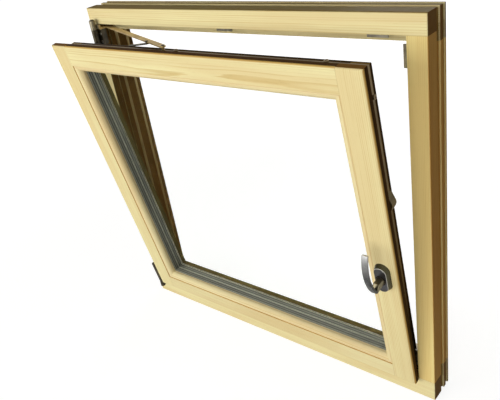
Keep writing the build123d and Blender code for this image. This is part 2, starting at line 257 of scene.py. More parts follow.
@dataclass(frozen=True)
class Lean:
    """How a group of pieces leans: a level turn about a line along X."""

    angle: float = 0.0
    pivot: tuple[float, float, float] = (0.0, 0.0, 0.0)

    def matrix(self) -> Matrix:
        """Returns the move from the upright place to the leaned one."""
        pivot = Matrix.Translation(self.pivot)
        return pivot @ Matrix.Rotation(self.angle, 4, "X") @ pivot.inverted()

    def shut_box(self, node: str) -> tuple[Vector, Vector]:
        """Measures a CAD node with its lean taken off.

        Args:
            node: The CAD node.

        Returns:
            Its lowest and highest corner.
        """
        back = self.matrix().inverted()
        points = [back @ vertex.co for vertex in frame["nodes"][node].data.vertices]
        low = Vector([min(point[axis] for point in points) for axis in range(3)])
        high = Vector([max(point[axis] for point in points) for axis in range(3)])
        return low, high


@dataclass(frozen=True)
class Cut:
    """How one piece of wood was cut from its trunk."""

    grain: Grain
    lean: Lean
    middle: Vector
    length: float
    width: float
    depth: float
    pith: tuple[float, float]
    start: float
    tone: Colour
    outward: int

    def turn(self) -> Euler:
        """Returns the turn that brings the fibres upright."""
        quarter = math.pi / 2 if self.grain is Grain.LEVEL else 0.0
        return Euler((-self.lean.angle, quarter, 0.0))

    def shift(self) -> Vector:
        """Returns the shift that puts the pith on the upright axis."""
        return Vector((*self.pith, self.start)) - self.turn().to_matrix() @ self.middle


@dataclass(frozen=True)
class PineFinish:
    """Clear varnished pine, pale in front, with shade painted darker on its sides, tops and inner walls."""

    name: str
    pale: Colour = srgb(240, 229, 175)
    warm: Colour = srgb(232, 213, 158)
    late: Colour = srgb(206, 174, 106)
    # Painted shade: the side, top and wall colours darken sides, tops and inner walls; the rim colour is a
    # lighter painted shade on the rounded front edge of the sides.
    side: Colour = (0.96, 0.66, 0.42, 1.0)
    top: Colour = (0.38, 0.31, 0.14, 1.0)
    end: Colour = (0.56, 0.40, 0.21, 1.0)
    seam: Colour = (0.42, 0.30, 0.20, 1.0)
    painted_rim: Colour = (0.80, 0.56, 0.27, 1.0)
    painted_wall_shade: Colour = (0.22, 0.145, 0.08, 1.0)
    # The joint colour paints a shadow line along a bead's outer edge, where it meets the sash.
    joint: Colour = (0.84, 0.70, 0.46, 1.0)
    joint_width: float = 0.0
    side_share: float = 1.0
    rim_share: float = 0.0
    wall_share: float = 0.7
    level_wall_share: float = 0.3
    clear_outside: float = 1.0
    ring_gap: float = 3.1 * MM
    ring_blur: float = 0.9
    wander: float = 9 * MM
    wander_scale: Scale = (9.0, 9.0, 1.1)
    blur_scale: Scale = (60.0, 60.0, 5.0)
    late_scale: Scale = (130.0, 130.0, 3.0)
    fibre_scale: Scale = (900.0, 900.0, 14.0)
    pore_scale: Scale = (1500.0, 1500.0, 60.0)
    pore_edge: Span = (0.66, 0.74)
    cloud_scale: Scale = (26.0, 26.0, 2.6)
    cloud_edge: Span = (0.32, 0.68)
    side_turn: Span = (0.3, 0.95)
    step_turn: Span = (0.5, 0.9)
    end_turn: Span = (0.85, 0.99)
    roughness: float = 0.5
    fibre_gloss: float = 0.18
    late_gloss: float = 0.06
    late_strength: float = 0.65
    fibre_strength: float = 0.35
    pore_strength: float = 0.16
    grain_depth: float = 0.12 * MM
    seam_width: float = 0.55 * MM
    seam_strength: float = 0.8
    groove: float = 3.1 * MM
    skin: float = 0.8 * MM
    gloss: float = 0.01

    def rings(self, sheet: Sheet, point: Wire) -> Wire:
        """Returns the dark late wood of the growth rings.

        Args:
            sheet: The material's nodes.
            point: The place, with the pith on the Z axis.

        Returns:
            0 in early wood, up to 1 in late wood.
        """
        slow = sheet.stretched(point, self.wander_scale)
        across, deep, _ = sheet.axes(point)
        across = across + (sheet.noise(slow, 1.0) - 0.5) * self.wander
        deep = deep + (sheet.noise(slow, 1.7) - 0.5) * self.wander
        growth = (across * across + deep * deep) ** 0.5 / self.ring_gap
        growth = growth + sheet.noise(sheet.stretched(point, self.blur_scale), 1.0, 3.0) * self.ring_blur
        part = growth.fraction()
        late = part.rise(0.5, 0.92) * (1 - part.rise(0.92, 1.0))
        strength = sheet.noise(sheet.stretched(point, self.late_scale), 1.0, 1.0)
        return late * strength.rise(0.25, 0.75)

    def make(self, tag: str, cut: Cut) -> bpy.types.Material:
        """Makes the material of one piece.

        Args:
            tag: The piece's name.
            cut: How the piece lies in its trunk.

        Returns:
            The material.
        """
        sheet = Sheet.named(f"{self.name}_{tag}")
        point = sheet.moved(sheet.place(), cut.turn(), cut.shift())
        late = self.rings(sheet, point)
        fibres = sheet.noise(sheet.stretched(point, self.fibre_scale), 1.0, 3.0)
        pores = sheet.noise(sheet.stretched(point, self.pore_scale), 1.0, 1.0).rise(*self.pore_edge)
        cloud = sheet.noise(sheet.stretched(point, self.cloud_scale), 1.0, 2.0)
        wood = sheet.blend(cloud.rise(*self.cloud_edge), self.pale, self.warm)
        dark = late * self.late_strength + (fibres - 0.5) * self.fibre_strength
        wood = sheet.blend(dark, wood, self.late)
        wood = sheet.blend(pores * self.pore_strength, wood, self.seam, "MULTIPLY")
        wood = sheet.blend(1.0, wood, cut.tone, "MULTIPLY")
        wood = self.painted_shade_and_end_grain(sheet, wood, point, cut)
        _, _, along = sheet.axes(point)
        ends = abs(along - cut.start).rise(cut.length / 2 - self.seam_width, cut.length / 2)
        wood = sheet.blend(ends * self.seam_strength, wood, self.seam, "MULTIPLY")
        height = late * 0.5 + fibres * 0.5 - pores * 0.6
        values = {
            "Base Color": wood,
            "Roughness": self.roughness + (fibres - 0.5) * self.fibre_gloss - late * self.late_gloss,
            "Specular IOR Level": self.gloss,
            "Normal": sheet.bump(height, self.grain_depth),
        }
        return sheet.finish(sheet.shader(values))

    def painted_shade_and_end_grain(self, sheet: Sheet, wood: Wire, point: Wire, cut: Cut) -> Wire:
        """Paints shade on the faces that don't look at the room, and darkens end grain.

        Args:
            sheet: The material's nodes.
            wood: The colour of a front face.
            point: The place, with the fibres upright.
            cut: How the piece lies in its trunk.

        Returns:
            The colour, with painted shade on sides, tops and inner walls, a painted shadow line along a
            bead's joint, and darker end grain.
        """
        across, deep, ends = sheet.axes(sheet.moved(sheet.place("Normal"), cut.turn(), (0.0, 0.0, 0.0)))
        beside, behind, _ = sheet.axes(point)
        beside = (beside - cut.pith[0]) * cut.outward
        below = behind + (cut.depth / 2 - cut.pith[1])
        inside = below.rise(self.groove, self.groove * 1.1)
        inside = inside * (1 - below.rise(cut.depth - self.skin, cut.depth - self.skin / 2))
        upright = cut.grain is Grain.UPRIGHT
        painted_face_shade, depth_share = (self.side, self.wall_share) if upright else (self.top, self.level_wall_share)
        outer = (across * cut.outward).rise(*self.side_turn)
        inner = (across * -cut.outward).rise(*self.side_turn)
        band = (1 - below.rise(self.groove * 1.2, self.groove * 1.6)) * self.rim_share
        # Painted shade on the recessed inner walls behind the front.
        step = inside * abs(deep).rise(*self.step_turn) * depth_share
        step = step * (1 - beside.rise(0.0, 2 * MM) * self.clear_outside)
        # Painted shade on sides, tops and inner walls, lighter on the rounded front edge of the sides.
        wood = sheet.blend(outer * (1 - band) * self.side_share, wood, painted_face_shade, "MULTIPLY")
        wood = sheet.blend((inner * (1 - band)).larger(step) * self.side_share, wood, self.painted_wall_shade, "MULTIPLY")
        wood = sheet.blend(outer.larger(inner) * band * self.side_share, wood, self.painted_rim, "MULTIPLY")
        # A painted shadow line along the piece's outer edge, where a bead meets the sash.
        if self.joint_width:
            edge = beside.rise(cut.width / 2 - self.joint_width, cut.width / 2)
            wood = sheet.blend(edge, wood, self.joint, "MULTIPLY")
        return sheet.blend(abs(ends).rise(*self.end_turn), wood, self.end, "MULTIPLY")


@dataclass(frozen=True)
class MetalFinish:
    """Metal with fine brushing and slightly uneven tone."""

    name: str
    colour: Colour
    shade: Colour
    metallic: float = 1.0
    roughness: float = 0.34
    patches: float = 60.0
    patch_edge: Span = (0.3, 0.72)
    patch_gloss: float = 0.05
    brush: Scale = (90.0, 2600.0, 2600.0)
    brush_depth: float = 0.02 * MM
    brush_tone: float = 0.5
    brush_gloss: float = 0.1

    def make(self) -> bpy.types.Material:
        """Makes the material.

        Returns:
            The material.
        """
        sheet = Sheet.named(self.name)
        point = sheet.place()
        cloud = sheet.noise(point, self.patches, 3.0).rise(*self.patch_edge)
        lines = sheet.noise(sheet.stretched(point, self.brush), 1.0, 2.0)
        colour = self.tone(sheet, point, cloud)
        rough = self.roughness + (cloud - 0.5) * self.patch_gloss
        values = {
            "Base Color": sheet.blend((lines - 0.4) * self.brush_tone, colour, self.shade),
            "Metallic": self.metallic,
            "Roughness": rough + (lines - 0.5) * self.brush_gloss,
            "Normal": sheet.bump(lines, self.brush_depth),
        }
        return sheet.finish(sheet.shader(values))

    def tone(self, sheet: Sheet, point: Wire, cloud: Wire) -> Wire:
        """Returns the colour before brushing, in soft patches."""
        return sheet.blend(cloud, self.colour, self.shade)


@dataclass(frozen=True)
class StayFinish(MetalFinish):
    """The stay's yellow plating, with its barrel and strap in grey steel."""

    barrel: Colour = srgb(132, 124, 102)
    barrel_reach: float = 17 * MM

    def tone(self, sheet: Sheet, point: Wire, cloud: Wire) -> Wire:
        """Parts the barrel from the arm.

        Args:
            sheet: The material's nodes.
            point: The place.
            cloud: Soft patches, from 0 to 1.

        Returns:
            Grey steel round the turn axis and yellow plating beyond it.
        """
        axis = joint("sash_turn")["pos_m"]
        x, y, _ = sheet.axes(point)
        x, y = x - axis[0], y - axis[1]
        far = ((x * x + y * y) ** 0.5).rise(self.barrel_reach * 0.94, self.barrel_reach)
        return sheet.blend(far, self.barrel, sheet.blend(cloud, self.colour, self.shade))


def off_sash(sheet: Sheet, point: Wire) -> Wire:
    """Measures how far in front of the sash a place on the handle lies.

    Args:
        sheet: The material's nodes.
        point: The place.

    Returns:
        The distance along the handle's axis.
    """
    turn = joint("handle_turn")
    start, axis = Vector(turn["pos_m"]), Vector(turn["axis"])
    along = sheet.add("ShaderNodeVectorMath", {"operation": "DOT_PRODUCT"}, {0: point, 1: axis})
    return sheet.wire(along, "Value") - start.dot(axis)


@dataclass(frozen=True)
class LeverFinish(MetalFinish):
    """Satin metal with a painted reflection: lighter towards its tip, dark at its foot, and warmer on its
    neck, a painted reflection of the wood.
    """

    # The neck colour is a painted reflection of the warm wood.
    neck: Colour = srgb(116, 108, 84)
    neck_end: float = 34 * MM
    neck_fade: float = 3 * MM
    # Strength of the painted reflection that lightens the lever towards its tip.
    wear_and_sheen: float = 0.9
    mottle: float = 0.08

    def tone(self, sheet: Sheet, point: Wire, cloud: Wire) -> Wire:
        """Paints reflection and shade on the lever: lighter towards its tip, darker at its foot.

        Args:
            sheet: The material's nodes.
            point: The place.
            cloud: Soft patches, from 0 to 1.

        Returns:
            The painted reflection and shade by how far up the lever a place lies, and the neck's painted
            warm reflection of the wood.
        """
        low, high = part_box("handle_lever")
        _, _, z = sheet.axes(point)
        up = (z - low.z) / (high.z - low.z)
        lever = sheet.blend(up * up * up * self.wear_and_sheen + cloud * self.mottle, self.shade, self.colour)
        out = off_sash(sheet, point).rise(self.neck_end, self.neck_end + self.neck_fade)
        return sheet.blend(out, self.neck, lever)


@dataclass(frozen=True)
class RosetteFinish(MetalFinish):
    """The handle's plate: dark sides, a bright rim that is a painted highlight, and a greyer front that is
    a painted reflection of the surround.
    """

    # The front colour is a painted reflection of the surround; the rim colour is a painted highlight.
    front: Colour = srgb(72, 72, 80)
    painted_rim: Colour = srgb(214, 210, 198)
    rim_span: Span = (9.7 * MM, 10.2 * MM)
    rim_share: float = 0.7
    front_span: Span = (10.8 * MM, 10.95 * MM)
    front_shade: float = 0.5

    def tone(self, sheet: Sheet, point: Wire, cloud: Wire) -> Wire:
        """Parts the plate's sides, its rim with a painted highlight and its front with a painted
        reflection.

        Args:
            sheet: The material's nodes.
            point: The place.
            cloud: Soft patches, from 0 to 1.

        Returns:
            The colour by how far in front of the sash a place lies, with the painted highlight and
            reflection.
        """
        away = off_sash(sheet, point)
        side = sheet.blend(cloud, self.colour, self.shade)
        # Painted highlight on the rim.
        wear_and_sheen = sheet.blend(away.rise(*self.rim_span) * self.rim_share, side, self.painted_rim)
        # Painted reflection on the front face.
        face = sheet.blend(cloud * self.front_shade, self.front, self.shade)
        return sheet.blend(away.rise(*self.front_span), wear_and_sheen, face)


@dataclass(frozen=True)
class GlassFinish:
    """Clear float glass that bends what is seen through it and shines when seen edge on."""

    name: str
    clear: Colour = (0.998, 1.0, 0.9985, 1.0)
    body: Colour = srgb(60, 84, 76)
    bend: float = 1.5
    coating: float = 1.1
    smear: float = 0.03
    smear_scale: float = 7.0
    smear_edge: Span = (0.4, 0.9)

    def make(self) -> bpy.types.Material:
        """Makes the material.

        Returns:
            The material.
        """
        sheet = Sheet.named(self.name)
        cloud = sheet.noise(sheet.place(), self.smear_scale, 3.0)
        gloss = sheet.shader(
            {
                "Base Color": sheet.blend(cloud, self.body, self.clear),
                "Roughness": cloud.rise(*self.smear_edge) * self.smear,
            }
        )
        bent = {"Color": self.clear, "Roughness": 0.0, "IOR": self.bend}
        through = sheet.wire(sheet.add("ShaderNodeBsdfRefraction", None, bent))
        shine = sheet.wire(sheet.add("ShaderNodeFresnel", None, {"IOR": self.coating}))
        seen = sheet.wire(sheet.add("ShaderNodeMixShader", None, {0: shine * shine, 1: through, 2: gloss}))
        lit = sheet.wire(sheet.add("ShaderNodeBsdfTransparent", None, {"Color": self.clear}))
        lamp = sheet.wire(sheet.add("ShaderNodeLightPath"), "Is Shadow Ray")
        return sheet.finish(sheet.wire(sheet.add("ShaderNodeMixShader", None, {0: lamp, 1: seen, 2: lit})))


@dataclass(frozen=True)
class RubberFinish:
    """Matt rubber with a fine grain."""

    name: str
    colour: Colour
    wear_and_sheen: Colour
    gloss: float = 0.12
    roughness: float = 0.62
    cloud_scale: float = 180.0
    cloud_edge: Span = (0.35, 0.75)
    cloud_gloss: float = 0.2
    grit_scale: float = 2400.0
    grit_depth: float = 0.03 * MM

    def make(self) -> bpy.types.Material:
        """Makes the material.

        Returns:
            The material.
        """
        sheet = Sheet.named(self.name)
        point = sheet.place()
        cloud = sheet.noise(point, self.cloud_scale, 3.0)
        grit = sheet.noise(point, self.grit_scale, 2.0)
        values = {
            "Base Color": sheet.blend(cloud.rise(*self.cloud_edge), self.colour, self.wear_and_sheen),
            "Roughness": self.roughness + (cloud - 0.5) * self.cloud_gloss,
            "Specular IOR Level": self.gloss,
            "Normal": sheet.bump(grit, self.grit_depth),
        }
        return sheet.finish(sheet.shader(values))


@dataclass(frozen=True)
class SpacerFinish:
    """Dark spacer between two panes, pale along both edges, which is sealant and a painted highlight, and
    along its middle crease, a painted highlight.
    """

    name: str
    metal: Colour = srgb(54, 55, 47)
    sealant: Colour = srgb(150, 150, 130)
    edge: float = 1.4 * MM
    crease: float = 0.5 * MM
    dot_scale: float = 700.0
    dot_depth: float = 0.05 * MM
    dot_share: float = 0.25
    crease_share: float = 0.6
    metallic: float = 0.3
    roughness: float = 0.5
    sealant_roughness: float = 0.7

    def make(self, lean: Lean, low: float, high: float) -> bpy.types.Material:
        """Makes the material.

        Args:
            lean: How the sash leans.
            low: Depth of the spacer's edge at the room, with the sash upright.
            high: Depth of its outer edge.

        Returns:
            The material.
        """
        sheet = Sheet.named(self.name)
        turn = Euler((-lean.angle, 0.0, 0.0))
        pivot = Vector(lean.pivot)
        point = sheet.moved(sheet.place(), turn, pivot - turn.to_matrix() @ pivot)
        _, deep, _ = sheet.axes(point)
        off, half = abs(deep - (low + high) / 2), (high - low) / 2
        # Pale lines along both edges, sealant and a painted highlight, and along the middle crease, a
        # painted highlight.
        edge = off.rise(half - self.edge, half - self.edge * 0.7)
        edge = edge.larger((1 - off.rise(self.crease, self.crease * 1.6)) * self.crease_share)
        dots = sheet.noise(point, self.dot_scale, 1.0)
        dull = sheet.blend(dots * self.dot_share, self.metal, self.sealant)
        values = {
            "Base Color": sheet.blend(edge, dull, self.sealant),
            "Metallic": self.metallic - edge * self.metallic,
            "Roughness": self.roughness + edge * (self.sealant_roughness - self.roughness),
            "Normal": sheet.bump(dots, self.dot_depth),
        }
        return sheet.finish(sheet.shader(values))


# Modelling


class Pick(Enum):
    """What a selection takes."""

    FACES = "FACE"
    EDGES = "EDGE"
    POINTS = "VERT"


class Workpiece:
    """A new piece on the bench, shaped with the modelling tools."""

    def __init__(self, name: str, primitive: Callable[..., Any], **size: Any) -> None:
        """Adds a primitive at its size and place.

        Args:
            name: The piece's name.
            primitive: The operator that adds it.
            **size: The operator's settings.
        """
        bpy.ops.object.select_all(action="DESELECT")
        primitive(**size)
        self.item = bpy.context.active_object
        self.item.name = self.item.data.name = name
        bpy.ops.object.transform_apply(location=True, rotation=True, scale=True)
        bpy.ops.object.mode_set(mode="EDIT")

    @staticmethod
    def rod(name: str, points: int, radius: float, depth: float, **place: Any) -> "Workpiece":
        """Starts with a cylinder along Z."""
        add = bpy.ops.mesh.primitive_cylinder_add
        return Workpiece(name, add, vertices=points, radius=radius, depth=depth, **place)

    def pick(self, test: Test, kind: Pick = Pick.FACES) -> "Workpiece":
        """Selects faces, edges or points.

        Args:
            test: Takes the middle and the normal of each, and says whether it is selected.
            kind: What is selected.

        Returns:
            The piece itself.
        """
        bpy.ops.mesh.select_mode(type=kind.value)
        bpy.ops.mesh.select_all(action="DESELECT")
        mesh = bmesh.from_edit_mesh(self.item.data)
        mesh.normal_update()
        if kind is Pick.FACES:
            found = [face for face in mesh.faces if test(face.calc_center_median(), face.normal)]
        elif kind is Pick.EDGES:
            found = [edge for edge in mesh.edges if test(self.middle(edge), self.facing(edge))]
        else:
            found = [point for point in mesh.verts if test(point.co, point.normal)]
        for part in found:
            part.select_set(True)
        mesh.select_flush_mode()
        bmesh.update_edit_mesh(self.item.data)
        return self

    @staticmethod
    def middle(edge: bmesh.types.BMEdge) -> Vector:
        """Returns the middle of an edge."""
        return (edge.verts[0].co + edge.verts[1].co) / 2

    @staticmethod
    def facing(edge: bmesh.types.BMEdge) -> Vector:
        """Returns the sum of the normals beside an edge."""
        return sum((face.normal for face in edge.link_faces), Vector())

    def use(self, tool: Callable[..., Any], **settings: Any) -> "Workpiece":
        """Uses a tool on what is selected."""
        tool(**settings)
        return self

    def push(self, move: Sequence[float]) -> "Workpiece":
        """Draws the selected faces out along a vector."""
        return self.use(bpy.ops.mesh.extrude_region_move, TRANSFORM_OT_translate={"value": move})

    def bevel(self, width: float, segments: int = 2, points: bool = False) -> "Workpiece":
        """Rounds the selected edges, or the selected points."""
        affect = "VERTICES" if points else "EDGES"
        return self.use(bpy.ops.mesh.bevel, offset=width, segments=segments, affect=affect)

    def done(self, angle: float = 35.0) -> bpy.types.Object:
        """Merges doubles, turns faces outwards and smooths.

        Args:
            angle: The sharpest angle that is smoothed, in degrees.

        Returns:
            The finished object.
        """
        bpy.ops.mesh.select_all(action="SELECT")
        bpy.ops.mesh.remove_doubles(threshold=1e-6)
        bpy.ops.mesh.normals_make_consistent(inside=False)
        bpy.ops.object.mode_set(mode="OBJECT")
        bpy.ops.object.shade_smooth_by_angle(angle=math.radians(angle))
        self.item.select_set(False)
        return self.item


def facing_up(least: float = 0.9) -> Test:
    """Makes a test that takes the faces that look up."""
    return lambda middle, normal: normal.z > least


def everything(middle: Vector, normal: Vector) -> bool:
    """Takes all there is."""
    return True


def settle(item: bpy.types.Object, place: Matrix) -> bpy.types.Object:
    """Moves a finished object into place and leaves the place in its mesh.

    Args:
        item: The object, made at the origin.
        place: Where it goes.

    Returns:
        The object itself.
    """
    bpy.ops.object.select_all(action="DESELECT")
    item.select_set(True)
    bpy.context.view_layer.objects.active = item
    item.matrix_world = place
    bpy.ops.object.transform_apply(location=True, rotation=True, scale=True)
    return item


def copy_to(item: bpy.types.Object, name: str, place: Matrix) -> bpy.types.Object:
    """Copies an object with its own mesh.

    Args:
        item: The object, made at the origin.
        name: The copy's name.
        place: Where the copy goes.

    Returns:
        The copy.
    """
    twin = item.copy()
    twin.data = item.data.copy()
    twin.name = twin.data.name = name
    bpy.context.scene.collection.objects.link(twin)
    return settle(twin, place)


def dress(item: bpy.types.Object, material: bpy.types.Material) -> None:
    """Gives an object one material."""
    item.data.materials.clear()
    item.data.materials.append(material)


def fit(item: bpy.types.Object, body: str, material: bpy.types.Material) -> None:
    """Puts a new piece on its body with its finish, and reports it.

    Args:
        item: The piece.
        body: The body that it rides on.
        material: Its material.
    """
    dress(item, material)
    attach(item, body)
    log.info("%s: %d faces on %s", item.name, len(item.data.polygons), body)


def joint(name: str) -> dict[str, Any]:
    """Returns a joint of the frame by its name."""
    return next(entry for entry in frame["joints"] if entry["name"] == name)


def facing_matrix(place: Vector, outward: Vector) -> Matrix:
    """Returns the place of a piece that was made with its front along Z."""
    return Matrix.Translation(place) @ outward.to_track_quat("Z", "Y").to_matrix().to_4x4()


# Finishes of this window

FRAME_PINE = PineFinish("frame_pine")
# Painted shade: near-black sides, dark tops and inner walls, with a lighter painted shade on the rounded
# front edge of the sides.
SASH_PINE = PineFinish(
    "sash_pine",
    side=(0.08, 0.042, 0.012, 1.0),
    top=(0.10, 0.055, 0.026, 1.0),
    painted_wall_shade=(0.11, 0.10, 0.065, 1.0),
    rim_share=1.0,
    wall_share=0.95,
    level_wall_share=0.95,
    clear_outside=0.0,
)
# The joint width paints a shadow line along each bead's outer edge, where it meets the sash.
BEAD_PINE = PineFinish(
    "bead_pine", pale=srgb(241, 227, 176), warm=srgb(234, 212, 160), side_share=0.12, joint_width=1.1 * MM
)
ZINC = MetalFinish("zinc", srgb(176, 172, 160), srgb(120, 116, 106))
PLATE = MetalFinish("faceplate_steel", srgb(122, 106, 80), srgb(104, 89, 66), roughness=0.42, patches=24.0)
BRONZE = MetalFinish("bronze", srgb(78, 70, 52), srgb(38, 32, 24), metallic=0.7, roughness=0.38)
OLIVE = MetalFinish("olive", srgb(112, 98, 62), srgb(84, 72, 44), metallic=0.5, roughness=0.45)
PLATE_GREY = RosetteFinish("handle_plate", srgb(78, 74, 50), srgb(58, 54, 36), metallic=0.8, roughness=0.3)
OCHRE = StayFinish("ochre", srgb(205, 178, 118), srgb(160, 132, 78), metallic=0.6, roughness=0.4)
# The light and dark colours are a painted reflection: light at the lever's tip, dark at its foot.
SATIN = LeverFinish("satin", srgb(186, 186, 184), srgb(24, 25, 23), metallic=0.85, roughness=0.3)
ANODISED = MetalFinish("anodised", srgb(176, 166, 146), srgb(142, 130, 108), roughness=0.42)
GLASS = GlassFinish("float_glass")
BLACK_RUBBER = RubberFinish("black_rubber", srgb(34, 28, 22), srgb(58, 50, 40))
GREY_SEALANT = RubberFinish("grey_sealant", srgb(120, 118, 104), srgb(150, 146, 128))


@dataclass
class Fasteners:
    """Screws and rivets, each modelled once and copied."""

    screw_radius: float = 3.1 * MM
    screw_rise: float = 0.5 * MM
    screw_points: int = 12
    screw_round: float = 0.6
    socket_inset: float = 0.4
    socket_depth: float = 1.2 * MM
    notch: float = 0.62
    rivet_radius: float = 3.6 * MM
    rivet_rise: float = 1.3 * MM
    rivet_points: int = 20
    rivet_round: float = 0.85

    def screw(self) -> bpy.types.Object:
        """Models a countersunk screw head with a star socket, its front along Z.

        Returns:
            The screw, at the origin.
        """
        radius, rise = self.screw_radius, self.screw_rise
        piece = Workpiece.rod("screw", self.screw_points, radius, 2 * rise)
        piece.pick(facing_up())
        piece.bevel(rise * self.screw_round, 2)
        piece.pick(facing_up(0.99))
        piece.use(bpy.ops.mesh.inset, thickness=radius * self.socket_inset)
        piece.use(bpy.ops.mesh.extrude_region_move)

        def notch(point: Vector, normal: Vector) -> bool:
            """Takes every second point of the socket's rim."""
            turn = math.atan2(point.y, point.x) / (2 * math.pi) * self.screw_points
            return point.z > 0 and point.xy.length < radius * self.notch and round(turn) % 2 == 0

        piece.pick(notch, Pick.POINTS)
        piece.use(bpy.ops.transform.resize, value=(self.notch, self.notch, 1.0), center_override=(0, 0, 0))
        piece.pick(lambda middle, normal: normal.z > 0.99 and middle.xy.length < radius * 0.1)
        piece.push((0, 0, -self.socket_depth))
        return piece.done()

    def rivet(self) -> bpy.types.Object:
        """Models a domed rivet head, its front along Z.

        Returns:
            The rivet, at the origin.
        """
        piece = Workpiece.rod("rivet", self.rivet_points, self.rivet_radius, 2 * self.rivet_rise)
        piece.pick(facing_up())
        piece.bevel(self.rivet_rise * self.rivet_round, 4)
        return piece.done(60.0)


@dataclass
class Timber:
    """The pieces of pine, each with its own place in the trunk that it was cut from."""

    sash_lean: Lean

    def cut(self, node: str, grain: Grain, pith: tuple[float, float], start: float, tone: Colour) -> Cut:
        """Works out how a CAD node was cut.

        Args:
            node: The CAD node.
            grain: The way its fibres run.
            pith: From the piece's middle to the trunk's pith, across the grain.
            start: How far up the trunk the piece begins.
            tone: The colour that the board's own is multiplied by.

        Returns:
            The cut.
        """
        lean = Lean() if node.startswith("frame") else self.sash_lean
        low, high = lean.shut_box(node)
        size = high - low
        length, width = (size.x, size.z) if grain is Grain.LEVEL else (size.z, size.x)
        middle = lean.matrix() @ ((low + high) / 2)
        outward = 1 if node.endswith(("right", "top", "head")) else -1
        return Cut(grain, lean, middle, length, width, size.y, pith, start, tone, outward)

    def build(self) -> None:
        """Dresses the frame, the sash and its beads."""
        finishes = {"frame": FRAME_PINE, "sash": SASH_PINE, "bead": BEAD_PINE}
        # The right jamb's warm tone is painted shade, the warmer colour of the shadow on it; the bottom
        # rail's tone is its own.
        tones_and_painted_shade = {"frame_jamb_right": (1.0, 0.91, 0.70, 1.0), "sash_rail_bottom": (0.98, 0.96, 0.97, 1.0)}
        rows = (
            ("frame_head", (0.105, -0.080), 0.4),
            ("frame_sill", (-0.120, 0.070), 2.1),
            ("frame_jamb_left", (0.090, 0.085), 1.2),
            ("frame_jamb_right", (-0.110, 0.060), 3.3),
            ("sash_stile_left", (0.120, 0.050), 4.1),
            ("sash_stile_right", (-0.100, 0.090), 5.6),
            ("sash_rail_top", (0.008, 0.075), 6.2),
            ("sash_rail_bottom", (-0.095, 0.075), 7.5),
            ("bead_left", (0.080, 0.070), 8.4),
            ("bead_right", (-0.075, 0.080), 9.1),
            ("bead_top", (0.085, 0.060), 10.3),
            ("bead_bottom", (-0.090, 0.065), 11.7),
        )
        for node, pith, start in rows:
            grain = Grain.UPRIGHT if node.endswith(("left", "right")) else Grain.LEVEL
            cut = self.cut(node, grain, pith, start, tones_and_painted_shade.get(node, WHITE))
            dress(frame["nodes"][node], finishes[node.split("_")[0]].make(node, cut))
            log.info("%s: pine, grain %s", node, grain.value)


@dataclass
class Glazing:
    """Three panes, their spacers and the sealing strips at the sight line."""

    lean: Lean
    strip_reach: float = 1.4 * MM
    strip_depth: float = 1.6 * MM
    strip_round: float = 0.4

    def hoop(self, name: str, node: str, side: float) -> bpy.types.Object:
        """Models a sealing strip round the sight line, against one face of the glass.

        Args:
            name: The strip's name.
            node: The pane that it lies on.
            side: -1 for the face at the room, 1 for the outer face.

        Returns:
            The strip.
        """
        left, _ = self.lean.shut_box("bead_left")
        low, high = self.lean.shut_box(node)
        bead_low, bead_high = self.lean.shut_box("bead_bottom")
        _, bead_top = self.lean.shut_box("bead_top")
        bead = bead_high.z - bead_low.z
        half, face = -left.x - bead, low.y if side < 0 else high.y
        bottom, top = bead_low.z + bead, bead_top.z - bead
        middle = Vector((0.0, face, (bottom + top) / 2))
        place = {"location": middle, "rotation": (math.pi / 2, 0.0, 0.0)}
        piece = Workpiece(name, bpy.ops.mesh.primitive_plane_add, size=1.0, **place)
        size = (2 * half, 1.0, top - bottom)
        piece.use(bpy.ops.transform.resize, value=size, center_override=middle)
        piece.use(bpy.ops.mesh.inset, thickness=self.strip_reach)
        piece.use(bpy.ops.mesh.delete, type="FACE")
        piece.pick(everything)
        piece.push((0.0, side * self.strip_depth, 0.0))
        margin = self.strip_reach / 2

        def lip(middle: Vector, normal: Vector) -> bool:
            """Takes the free inner edges of the strip."""
            within = abs(middle.x) < half - margin and bottom + margin < middle.z < top - margin
            return within and abs(middle.y - face) > self.strip_depth * 0.9

        piece.pick(lip, Pick.EDGES)
        piece.bevel(self.strip_depth * self.strip_round, 2)
        return settle(piece.done(), self.lean.matrix())

    def build(self) -> None:
        """Dresses the panes and the spacers, and adds the strips."""
        glass = GLASS.make()
        for name in ("inner", "middle", "outer"):
            dress(frame["nodes"][f"glass_{name}"], glass)
        for name in ("inner", "middle"):
            low, high = self.lean.shut_box(f"spacer_{name}")
            finish = SpacerFinish(f"spacer_{name}")
            dress(frame["nodes"][f"spacer_{name}"], finish.make(self.lean, low.y, high.y))
        sealant = GREY_SEALANT.make()
        fit(self.hoop("glazing_strip_room", "glass_inner", -1), "sash", sealant)
        fit(self.hoop("glazing_strip_outer", "glass_outer", 1), "sash", sealant)
        dress(frame["nodes"]["sash_seal"], BLACK_RUBBER.make())


